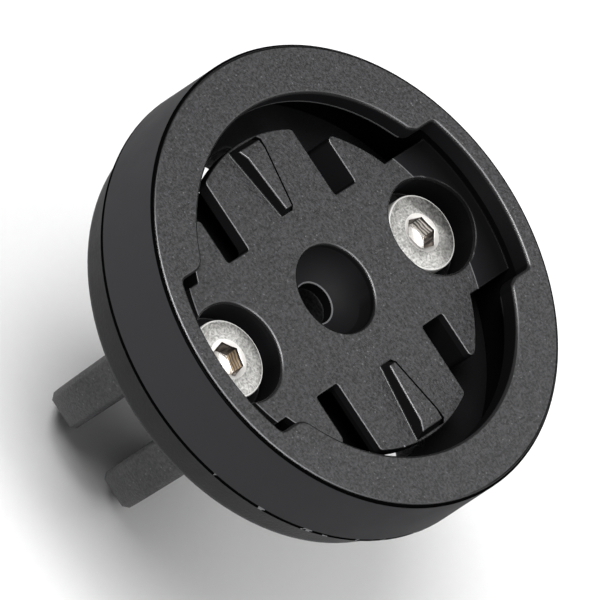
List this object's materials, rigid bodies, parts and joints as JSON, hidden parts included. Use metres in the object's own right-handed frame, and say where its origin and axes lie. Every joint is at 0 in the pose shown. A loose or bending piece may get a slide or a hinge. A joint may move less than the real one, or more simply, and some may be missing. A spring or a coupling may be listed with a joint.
{
  "type": "bike camera and light mount",
  "caption": "Round plastic adapter: a quarter-turn socket with flexible detent tabs, screwed onto a fingered camera-mount base with a cross bore.",
  "frame": {"origin": "centre of the cross bore through the two fingers, midway between them", "axes": "+Z out of the socket face, square to the round ring; X from one cap screw to the other, with the left screw at -X; +Y along the cross bore"},
  "size_m": [0.0342, 0.0342, 0.0291],
  "materials": {
    "socket_nylon": "fine spark-eroded grain on the faces, satin on the rim",
    "base_nylon": "spark-eroded grain",
    "screw_steel": "faced and tumbled",
    "insert_brass": "turned and knurled"
  },
  "bodies": {
    "root": {"socket_moulding": "socket_nylon", "finger_base_moulding": "base_nylon", "left_cap_screw": "screw_steel", "right_cap_screw": "screw_steel", "left_thread_insert": "insert_brass", "right_thread_insert": "insert_brass"}
  },
  "joints": []
}
